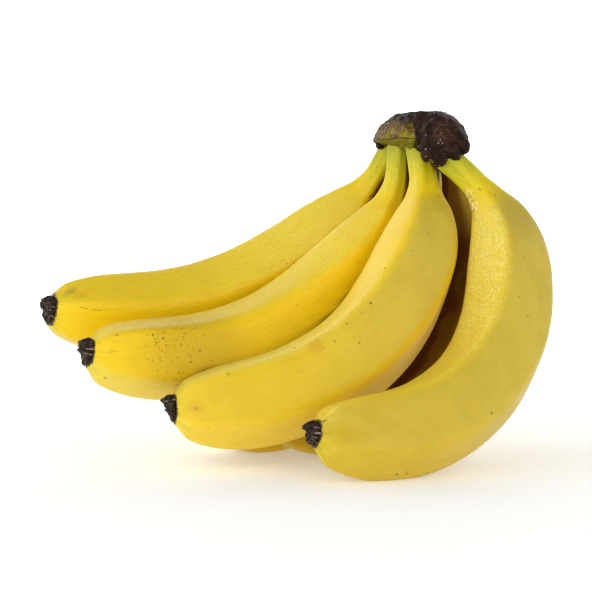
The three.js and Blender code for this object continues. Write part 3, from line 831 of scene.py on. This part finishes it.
class PeelCoat(Coat):
    """Waxy ripe peel: green at the stalk, yellow body with paler and deeper faces, brown marks,
    painted highlights and painted shade.
    """

    def __init__(self, settings):
        super().__init__("Peel", settings)
        self.place = self.add("Attribute", {"attribute_name": "straight"}).outputs["Vector"]
        self.mask = self.attributes("along", "cream_and_sheen", "dust_and_shade", "deep", "waxy", "crevice_shade")
        self.clouds = self.pattern(CLOUDS, 3.0)
        self.pimples = self.pattern(PIMPLES, 1.0)
        stretched = self.vector("MULTIPLY", self.place, STREAK_STRETCH)
        self.streaks = self.noise(stretched, STREAKS, 2.0, 0.6)
        # How far along the finger, with uneven borders.
        self.edge = self.plus(self.mask["along"], self.swing(self.clouds, BORDER_SWING))
        self.wrinkled = self.near(*WRINKLED, 1.0, STAIN_FADE)
        self.waxy = self.math("MAXIMUM", self.mask["waxy"], self.wrinkled)

    def near(self, finger, share, around, size, strength, fade, ragged=None):
        """From strength at a place on the peel to 0 away from it. fade is in shares of size."""
        away = self.vector("DISTANCE", self.place, on_peel(finger, share, around))
        away = away if ragged is None else self.plus(away, ragged)
        return self.ramp(away, fade[0] * size * MM, fade[1] * size * MM, strength, 0.0)

    def build(self):
        self.colour = self.mottled(BLOTCHES, "ripe", "warm", 0.6)
        self.faces()
        self.wax_and_stains()
        self.stalk()
        self.wrinkles()
        self.tip_creases()
        self.dots()
        # Painted shade: brown where the peel is shut in between the fingers.
        self.over(self.mask["crevice_shade"], "painted_shade")
        tip = self.plus(self.mask["along"], self.swing(self.pattern(TIP_BORDER), 0.006))
        self.over(self.ramp(tip, PEEL_END - 0.0025, PEEL_END, 0.0, 0.97), "tip")
        return self.finish(self.roughness(), self.height(), 0.35, 0.0003,
                           Subsurface_Weight=0.08, Subsurface_Radius=(1.0, 0.5, 0.1),
                           Subsurface_Scale=0.002, Specular_IOR_Level=0.21, Coat_Weight=0.07,
                           Coat_Roughness=0.22)

    def faces(self):
        """Deeper, paler and dusty faces: partly painted bounce light, sheen and shade."""
        cloudy = self.ramp(self.clouds, 0.3, 0.7, 0.75, 1.0)
        for name in ("deep", "cream_and_sheen"):
            self.over(self.times(self.mask[name], cloudy), name)
        self.over(self.mask["dust_and_shade"], self.mottled(DUST, "dust_and_shade", "darker_dust_and_shade", 0.7))

    def wax_and_stains(self):
        """Painted highlights on the waxy pimples' tops, painted shade in their hollows,
        and soft stains with cloudy edges.
        """
        # Painted highlights on the pimples' tops.
        pimple_highlights = self.times(self.ramp(self.pimples, 0.52, 0.66), self.waxy)
        self.over(self.times(pimple_highlights, 0.36), "painted_highlight")
        ragged = self.swing(self.pattern(STAIN_BORDERS, 3.0), 0.008)
        for *spot, paint, strength in PATCHES:
            self.over(self.near(*spot, strength, STAIN_FADE, ragged), paint)
        # Painted shade in the pimples' hollows.
        hollow_shade = self.times(self.ramp(self.pimples, 0.36, 0.5, 1.0, 0.0), self.waxy)
        self.over(self.times(hollow_shade, 0.3), "darker_dust_and_shade")

    def stalk(self):
        """Fine streaks along the finger, then the greens of the stalk."""
        self.over(self.ramp(self.streaks, 0.45, 0.75, 0.0, 0.22), "ochre")
        self.over(self.ramp(self.edge, 0.04, 0.17, 0.9, 0.0), "stalk_green")
        self.over(self.ramp(self.edge, 0.01, 0.09, 0.7, 0.0), "root_green")
        dull = self.ramp(self.pattern(DULL_STALK, 3.0), 0.48, 0.66)
        self.over(self.times(dull, self.ramp(self.edge, 0.03, 0.15, 0.4, 0.0)), "olive")

    def wrinkles(self):
        """Darker olive folds with painted highlights on their tops, in the wrinkled patch."""
        folds = self.pattern(FOLDS)
        deep, tops = self.ramp(folds, 0.40, 0.48, 0.7, 0.0), self.ramp(folds, 0.54, 0.60, 0.0, 0.8)
        self.over(self.times(deep, self.wrinkled), "olive")
        # Painted highlights on the folds' tops.
        self.over(self.times(tops, self.wrinkled), "painted_highlight")

    def tip_creases(self):
        """Brown creases and a green tint beside the blossom end."""
        creases = self.times(self.ramp(self.streaks, 0.5, 0.64),
                             self.ramp(self.edge, *TIP_SPAN))
        creases = self.times(creases, self.ramp(self.pattern(CREASES), 0.45, 0.62))
        self.over(self.times(creases, 0.65), "crease")
        self.over(self.ramp(self.edge, *TIP_SPAN, 0.0, 0.3), "stalk_green")

    def dots(self):
        """Scattered specks, fine freckles in patches, and the brown marks and scars."""
        specks = self.shared("specks", Scale=SPECKS, Size=0.10, Amount=0.15)
        self.over(self.times(specks, 0.6), "speck")
        freckles = self.shared("specks", Scale=FRECKLES, Size=0.24, Amount=0.8)
        for spot in FRECKLED:
            self.over(self.times(freckles, self.near(*spot, FRECKLE_FADE)), "speck")
        mask = 0.0
        for finger, share, around, size, strength in MARKS:
            thin = read_profile(GIRTH_PROFILE, np.array([share]))[0]
            radius = size / 2 / max(thin, 0.5) ** 0.5
            dot = self.near(finger, share, around, radius, strength, MARK_FADE)
            mask = self.math("MAXIMUM", mask, dot)
        for scar in SCARS:
            mask = self.math("MAXIMUM", mask, self.scar(*scar))
        self.over(mask, "speck")

    def scar(self, finger, share, around, share_2, around_2, width, strength):
        """A thin straight scar between two places on a finger."""
        start = Vector(on_peel(finger, share, around))
        line = Vector(on_peel(finger, share_2, around_2)) - start
        offset = self.vector("SUBTRACT", self.place, start)
        along = self.vector("DOT_PRODUCT", offset, line / line.length_squared)
        along = self.math("ADD", along, 0.0, clamp=True)
        nearest = self.add("VectorMath", {"operation": "SCALE"}, i0=line, Scale=along).outputs[0]
        away = self.vector("DISTANCE", offset, nearest)
        return self.ramp(away, 0.2 * width * MM, 0.8 * width * MM, strength, 0.0)

    def height(self):
        """Fine grain, streaks, and pimples where the peel is pale or waxy."""
        grain = self.shared("grain", Fine=800.0, Coarse=300.0, Coarse_Share=0.45)
        pimpled = self.times(self.plus(self.waxy, self.wrinkled), 2.5)
        raised = self.times(self.ramp(self.pimples, 0.45, 0.7),
                            self.plus(self.mask["cream_and_sheen"], pimpled))
        return self.plus(self.plus(grain, raised), self.times(self.streaks, 0.6))

    def roughness(self):
        """Uneven gloss, smoother where waxy and dull where shut in."""
        gloss = self.settings.gloss
        rough = self.ramp(self.pattern(GLOSS, 3.0), 0.3, 0.7, gloss, gloss + 0.1)
        rough = self.plus(rough, self.times(self.waxy, -0.1))
        return self.plus(rough, self.times(self.mask["crevice_shade"], 0.5))


def crown_material(settings):
    """Dried crown: nearly black rough tissue, a brown rosette, a dull green flank, painted
    sparkles.
    """
    coat = Coat("Dried tissue", settings)
    coat.place = coat.add("TexCoord").outputs["Object"]
    mask = coat.attributes("green", "star", "fibre", "band", "under")
    rust = coat.ramp(coat.pattern(RUST_CLOUDS, 3.0, 0.65), 0.38, 0.54)
    freckles = coat.shared("specks", Scale=FLANK_FRECKLES, Size=0.35, Amount=0.7)
    coat.colour = coat.mottled(FLANK_BLOTCHES, "flank", "flank_shade", 0.8)
    coat.over(coat.times(rust, mask["band"]), "rust")
    coat.over(coat.times(freckles, 0.7), "brown")
    flank = coat.colour

    coat.colour = coat.mottled(BARK_BLOTCHES, "dark", "brown", 0.7)
    coat.over(coat.times(mask["star"], mask["fibre"]), "star")
    coat.over(mask["green"], flank)
    coat.over(mask["under"], "under")
    seam = coat.times(mask["green"], mask["under"])
    coat.over(coat.ramp(seam, 0.04, 0.16, 0.0, 0.85), "dark")
    # Painted highlights: small pale sparkles on the bare dark tissue.
    sparkles = coat.shared("specks", Scale=SPARKLES, Size=0.4, Amount=0.16)
    bare = coat.minus(1.0, coat.math("MAXIMUM", mask["green"], mask["under"]))
    coat.over(coat.times(sparkles, bare), "painted_sparkle")
    grain = coat.shared("grain", Fine=1700.0, Coarse=600.0, Coarse_Share=0.6)
    rough = coat.ramp(mask["green"], 0, 1, 0.45, 0.5)
    return coat.finish(rough, grain, 0.9, 0.0006, Specular_IOR_Level=0.1)


def blossom_material(settings):
    """Dried flower: brown-black, with paler fibres."""
    coat = Coat("Blossom end", settings)
    coat.place = coat.add("TexCoord").outputs["Object"]
    coat.colour = coat.mottled(DRIED_BLOTCHES, "dark", "brown", 0.6)
    fibre = coat.ramp(coat.attributes("fibre")["fibre"], 0.72, 0.98)
    coat.over(coat.times(fibre, coat.ramp(coat.pattern(FIBRE_PATCHES), 0.46, 0.6)), "fibre")
    grain = coat.shared("grain", Fine=2200.0, Coarse=800.0, Coarse_Share=0.5)
    return coat.finish(0.42, grain, 0.9, 0.0005, Specular_IOR_Level=0.15)


def floor_material(settings):
    """Pale floor that also gives off a little light, as lit walls beyond it would."""
    coat = Coat("Pale floor", settings)
    place = coat.add("TexCoord").outputs["Object"]
    darker = rgba([0.98 * c for c in settings.floor])
    colour = coat.mix(coat.noise(place, 3.0), coat.paint("floor"), darker)
    way = coat.vector("NORMALIZE", coat.vector("MULTIPLY", place, (1, 1, 0)))

    def toward(direction, low, high, strength):
        return coat.ramp(coat.vector("DOT_PRODUCT", way, direction), low, high, 0.0, strength)

    backdrop = toward(BACKDROP_FROM, 0.6, 0.92, settings.backdrop)
    front = toward(GLOW_FROM, -0.1, 0.95, settings.glow)
    spread = coat.ramp(coat.vector("LENGTH", place), 0.16, 1.2)
    glow = coat.plus(coat.times(coat.plus(backdrop, front), spread), settings.near_floor)
    light = coat.add("CombineColor", None, Red=glow, Green=glow, Blue=glow).outputs[0]
    shader = coat.add("BsdfPrincipled", None, Base_Color=colour, Roughness=0.8,
                      Emission_Color=light, Emission_Strength=1.0)
    coat.add("OutputMaterial", None, Surface=shader.outputs[0])
    return coat.material


# ------------------------------------------------------------------ settings

def colour_property(name, description, default):
    return bpy.props.FloatVectorProperty(name=name, description=description, default=default,
                                         subtype="COLOR", size=3, min=0, max=1)


def number_property(name, description, default, **more):
    return bpy.props.FloatProperty(name=name, description=description, default=default,
                                   **{"min": 0, **more})


class BananaPeelSettings(bpy.types.PropertyGroup):
    rings: bpy.props.IntProperty(
        name="Rings", description="Rings of points along each finger", default=300, min=30)
    sides: bpy.props.IntProperty(
        name="Sides", description="Points round each finger", default=130, min=20)
    crest: number_property("Crest", "How far a ridge's crest stands out, in mm", 0.4)
    gloss: number_property("Roughness", "Roughness of the waxy peel", 0.36, max=1, subtype="FACTOR")
    ripe: colour_property("Ripe", "Main colour of the ripe peel", (0.82, 0.57, 0.008))
    warm: colour_property("Warm", "Warmer blotches of the peel", (0.78, 0.51, 0.006))
    # Painted bounce light: the warmer, brighter yellow of the faces between the fingers.
    deep: colour_property("Deep", "Deeper yellow of the inner faces", (0.96, 0.62, 0.002))
    # Partly a painted sheen: the paler faces that turn towards the light.
    cream_and_sheen: colour_property("Cream", "Paler, waxy faces", (0.87, 0.69, 0.085))
    # Partly painted shade: the dusty faces that turn away from the light.
    dust_and_shade: colour_property("Khaki", "Dusty bloom on the outer faces", (0.59, 0.44, 0.058))
    crease: colour_property("Creases", "Brown creases beside the tips", (0.26, 0.15, 0.02))
    # Painted highlight on the tops of the waxy pimples and of the wrinkled patch's folds.
    painted_highlight: colour_property("Glint", "Waxy tops of the pimples", (1.0, 0.90, 0.55))
    # Darker dusty bloom, partly painted shade; also painted shade in the waxy pimples' hollows.
    darker_dust_and_shade: colour_property("Khaki shade", "Darker bloom", (0.51, 0.38, 0.045))
    olive: colour_property("Olive", "Dull olive stains", (0.34, 0.26, 0.03))
    ochre: colour_property("Ochre", "Darker yellow stains", (0.58, 0.39, 0.01))
    rust: colour_property("Rust", "Rusty stains", (0.60, 0.30, 0.015))
    # Painted shade: the brown laid on peel that is shut in between the fingers.
    painted_shade: colour_property("Shut in", "Brown deep between fingers", (0.135, 0.034, 0.002))
    stalk_green: colour_property("Stalk", "Yellow-green of the stalk", (0.62, 0.545, 0.012))
    root_green: colour_property("Root", "Green beside the crown", (0.37, 0.41, 0.014))
    speck: colour_property("Speck", "Brown of the specks", (0.12, 0.055, 0.010))
    tip: colour_property("Tip", "Dried peel round the blossom", (0.035, 0.018, 0.012))


class BananaCrownSettings(bpy.types.PropertyGroup):
    voxel: number_property("Detail", "Size of the crown's finest faces, in mm", 0.5, min=0.2)
    bark: number_property("Bark", "Depth of the dried tissue's relief, in mm", 1.15)
    dark: colour_property("Dark", "Nearly black dried tissue", (0.010, 0.0045, 0.0035))
    brown: colour_property("Brown", "Brown of the dried tissue", (0.052, 0.020, 0.011))
    star: colour_property("Rosette", "Lighter fibres of the rosette", (0.13, 0.062, 0.032))
    flank: colour_property("Flank", "Dull green of the smooth flank", (0.27, 0.215, 0.012))
    flank_shade: colour_property("Flank shade", "Darker green of the flank", (0.11, 0.095, 0.008))
    rust: colour_property("Rust", "Brown speckle on the flank", (0.08, 0.022, 0.006))
    under: colour_property("Underside", "Green where the stalks begin", (0.19, 0.18, 0.015))
    # Painted highlight: tiny pale sparkles on the dark tissue.
    painted_sparkle: colour_property("Flakes", "Pale dry flakes", (0.42, 0.32, 0.26))


class BananaBlossomSettings(bpy.types.PropertyGroup):
    ragged: number_property("Ragged", "Unevenness of the torn edge, in mm", 0.9)
    dark: colour_property("Dark", "Nearly black dried flower", (0.010, 0.006, 0.005))
    brown: colour_property("Brown", "Brown of the dried flower", (0.050, 0.026, 0.016))
    fibre: colour_property("Fibre", "Pale dry fibres", (0.38, 0.28, 0.17))


class BananaStageSettings(bpy.types.PropertyGroup):
    camera_height: number_property(
        "Look down", "How far the camera looks down", math.radians(2.2427),
        subtype="ANGLE", unit="ROTATION")
    camera_distance: number_property(
        "Distance", "From the camera to the middle of the hand", 0.70985,
        subtype="DISTANCE", unit="LENGTH")
    lens: number_property("Lens", "Focal length in mm on a 36 mm frame", 95.92)
    floor: colour_property("Floor", "Pale floor", (0.93, 0.93, 0.925))
    backdrop: number_property("Backdrop", "Light of the backdrop behind the hand", 0.75)
    glow: number_property("Glow", "Light of the wall at the front left", 0.5)
    near_floor: number_property("Near floor", "Light of the floor under the hand", 0.225)
    near: number_property("Near light", "Even light from the front left", 0.45)
    far: number_property("Far light", "Even light from the back right", 0.21)


# ------------------------------------------------------------------ operators

class HAND_OT_fingers(bpy.types.Operator):
    """Build the six fingers with their stalks, ridges and peel"""
    bl_idname = "hand.fingers"
    bl_label = "Fingers"

    def execute(self, context):
        settings = context.scene.banana_peel
        material = PeelCoat(settings).build()
        shapes = [finger_points(finger, index, settings) for index, finger in enumerate(FINGERS)]
        painted_shade = crevice_shade([points for points, *_ in shapes])
        for index, (points, share, around, turn) in enumerate(shapes):
            piece = new_object(f"banana_{index + 1}", *lump(points))
            girth, length = FINGERS[index]["girth"], FINGERS[index]["length"]
            straight = np.stack([girth * np.cos(turn) + 1000 * index, girth * np.sin(turn),
                                 length * share], -1) * MM
            give_attribute(piece, "straight", "FLOAT_VECTOR", closed(straight))
            ends = np.append(share.ravel(), [share[0, 0], share[-1, 0]])
            give_attribute(piece, "along", "FLOAT", ends)
            masks = peel_masks(index, share, around)
            # Painted shade: the shut-in darkness together with the faces painted in shade.
            masks["crevice_shade"] = np.maximum(painted_shade[index], masks.pop("shade"))
            for mask, values in masks.items():
                give_attribute(piece, mask, "FLOAT", np.append(values.ravel(), [0, 0]))
            hand_in(piece, f"finger_{index + 1}", material)
        return {"FINISHED"}


class HAND_OT_crown(bpy.types.Operator):
    """Build the dried crown with its rosette, lobes and green flank"""
    bl_idname = "hand.crown"
    bl_label = "Crown"

    def execute(self, context):
        settings = context.scene.banana_crown
        points, faces = fused([crown_lump(), rosette_disc(), *hanging_lobes()], settings.voxel)
        piece = new_object("crown_skin", points, faces)
        normals = point_normals(piece)
        masks = crown_masks(points, normals)
        coarse, fine = wobble(points, LUMPS[0], 2), wobble(points, CRUMBS[0], 3)
        knobs = 0.5 - np.abs(wobble(points, KNOBS[0], 5))
        rough = 1 - FLANK_SMOOTH * masks["green"]
        lumpy = LUMPS[1] * coarse + CRUMBS[1] * fine + KNOBS[1] * knobs
        relief = settings.bark * lumpy * rough
        relief += FIBRE_DEPTH * (masks["fibre"] - 0.5) * masks["star"]
        relief -= SEAM_DEPTH * masks["green"] * masks["under"]
        points = points + normals * relief[:, None]
        points[:, 2] = np.minimum(points[:, 2], CROWN_TOP - 0.2 + 0.25 * coarse)
        move_points(piece, points)
        for name, values in masks.items():
            give_attribute(piece, name, "FLOAT", values)
        hand_in(piece, "crown", crown_material(settings))
        return {"FINISHED"}


class HAND_OT_blossom_ends(bpy.types.Operator):
    """Build the dried, torn blossom end on each finger"""
    bl_idname = "hand.blossom_ends"
    bl_label = "Blossom ends"

    def execute(self, context):
        settings = context.scene.banana_blossom
        material = blossom_material(settings)
        for index in range(len(FINGERS)):
            piece = self.stub(index, settings)
            hand_in(piece, f"blossom_end_{index + 1}", material)
        return {"FINISHED"}

    def stub(self, index, settings):
        """A low cap of dried tissue with a hollow, torn middle, lumpy and pleated outside."""
        finger = FINGERS[index]
        places = np.linspace(STALK_START, PEEL_END, 400)
        path, along, across, side = finger_line(finger, places)
        middle, way, x_axis, y_axis = path[-1], along[-1], across[-1], side[-1]
        if finger["rests"]:
            low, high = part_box(f"blossom_end_{index + 1}")
            centre = middle + way * BLOSSOM_LENGTH / 2
            middle = middle + [0, 0, (low.z + high.z) / 2 / MM - centre[2]]
        top = math.atan2(y_axis[2], x_axis[2])
        angle = full_turn(STUB_SIDES)
        squash = 1 + STUB_OVAL * np.cos(2 * angle + index)
        rings, fibres = [], []
        for height, share, torn in STUB_PROFILE:
            wave = np.sin(5 * angle + index * 1.7) + 0.7 * np.sin(3 * angle - index)
            reach = SHRUNK[index] * BLOSSOM_RADIUS * share * squash
            reach = reach * (1 + TORN_WAVE * torn * wave)
            tear = np.sin(4 * angle + index * 2.3) + 0.6 * np.sin(9 * angle + index)
            lift = height * (BLOSSOM_LENGTH + BLOSSOM_SLANT * np.cos(angle - top))
            lift = lift + torn * settings.ragged * 0.5 * tear
            rings.append(middle + lift[:, None] * way + (reach * np.cos(angle))[:, None] * x_axis
                         + (reach * np.sin(angle))[:, None] * y_axis)
            fibres.append(0.5 + 0.5 * np.sin(FIBRES * angle + 5 * np.sin(3 * angle + index)))
        rings, fibres = np.array(rings), np.array(fibres).ravel()
        flat = rings.reshape(-1, 3)
        outward = unit(flat - (middle + 0.35 * BLOSSOM_LENGTH * way))
        (broad, broad_size), (fine, fine_size) = FRAYS
        rough = broad * wobble(flat, broad_size, index + 20) + fine * wobble(flat, fine_size, 41)
        pleat = FIBRE_RISE * (fibres - 0.5)
        flat = flat + outward * (settings.ragged * rough + pleat)[:, None]
        piece = new_object(f"dried_blossom_{index + 1}", *lump(flat.reshape(rings.shape)))
        give_attribute(piece, "fibre", "FLOAT", np.append(fibres, [0.5, 0.5]))
        return piece


class HAND_OT_stage(bpy.types.Operator):
    """Set the pale floor, the soft studio lights and the camera"""
    bl_idname = "hand.stage"
    bl_label = "Stage"

    def execute(self, context):
        settings = context.scene.banana_stage
        self.floor(settings)
        self.lights(context.scene, settings)
        self.camera(context.scene, settings)
        context.scene.view_settings.view_transform = "Standard"
        return {"FINISHED"}

    def floor(self, settings):
        """A wide round floor that curves up into a wall, so it shows no horizon."""
        bend = np.linspace(0, math.pi / 2, 24)
        rise = [0.0, 0.0, *(FLOOR_CURVE * (1 - np.cos(bend))), FLOOR_CURVE + FLOOR_WALL]
        radii = [200.0, 800.0, *(FLOOR_FLAT + FLOOR_CURVE * np.sin(bend)), FLOOR_FLAT + FLOOR_CURVE]
        sides = 96
        angle = full_turn(sides)
        rings = np.array([np.stack([r * np.cos(angle), r * np.sin(angle), np.full(sides, h)], -1)
                          for r, h in zip(radii, rise)])
        points = np.vstack([rings.reshape(-1, 3), [[0, 0, 0]]])
        faces = [face[::-1] for face in ring_faces(len(rings), sides, close_ends=False)]
        last = len(points) - 1
        faces += [(last, j, (j + 1) % sides) for j in range(sides)]
        floor = new_object("floor", points, faces)
        floor.data.materials.append(floor_material(settings))

    def lights(self, scene, settings):
        """Even light from all round, stronger from one side, and two soft lamps."""
        world = bpy.data.worlds.new("Studio")
        world.use_nodes = True
        back = world.node_tree.nodes["Background"]
        nodes = Nodes(world.node_tree)
        nodes.put((1, 1, 1, 1), back.inputs["Color"])
        way = nodes.add("TexCoord").outputs["Generated"]
        lean = nodes.vector("DOT_PRODUCT", way, LIGHT_FROM)
        strength = nodes.ramp(lean, -1, 1, settings.far, settings.near)
        nodes.put(strength, back.inputs["Strength"])
        scene.world = world
        for name, place, size, power in LAMPS:
            lamp = bpy.data.lights.new(name, "AREA")
            lamp.shape = "DISK"
            lamp.size = size
            lamp.energy = power
            holder = bpy.data.objects.new(name, lamp)
            holder.location = place
            aim = LAMP_TARGET - Vector(place)
            holder.rotation_euler = aim.to_track_quat("-Z", "Y").to_euler()
            scene.collection.objects.link(holder)

    def camera(self, scene, settings):
        """A camera straight in front of the hand, a little above its middle."""
        look_down = settings.camera_height
        back = Vector((0, -math.cos(look_down), math.sin(look_down)))
        camera = bpy.data.objects.new("camera", bpy.data.cameras.new("camera"))
        camera.data.lens = settings.lens
        camera.data.sensor_width = 36
        camera.data.clip_end = 50
        camera.location = CAMERA_TARGET + back * settings.camera_distance
        camera.rotation_euler = (math.pi / 2 - look_down, 0, 0)
        scene.collection.objects.link(camera)
        scene.camera = camera


class HAND_PT_panel(bpy.types.Panel):
    """Lists the hand's builders in the 3D view's sidebar"""
    bl_idname = "HAND_PT_panel"
    bl_label = "Hand of Bananas"
    bl_space_type = "VIEW_3D"
    bl_region_type = "UI"
    bl_category = "Bananas"

    def draw(self, context):
        for operator in OPERATORS:
            self.layout.operator(operator.bl_idname)


SETTINGS = (
    ("banana_peel", BananaPeelSettings),
    ("banana_crown", BananaCrownSettings),
    ("banana_blossom", BananaBlossomSettings),
    ("banana_stage", BananaStageSettings),
)
OPERATORS = (HAND_OT_fingers, HAND_OT_crown, HAND_OT_blossom_ends, HAND_OT_stage)


def register():
    for name, settings in SETTINGS:
        bpy.utils.register_class(settings)
        setattr(bpy.types.Scene, name, bpy.props.PointerProperty(type=settings))
    for operator in (*OPERATORS, HAND_PT_panel):
        bpy.utils.register_class(operator)


def unregister():
    for operator in reversed((*OPERATORS, HAND_PT_panel)):
        bpy.utils.unregister_class(operator)
    for name, settings in reversed(SETTINGS):
        delattr(bpy.types.Scene, name)
        bpy.utils.unregister_class(settings)


def main():
    register()
    bpy.ops.hand.fingers()
    bpy.ops.hand.crown()
    bpy.ops.hand.blossom_ends()
    bpy.ops.hand.stage()


if __name__ == "__main__":
    main()
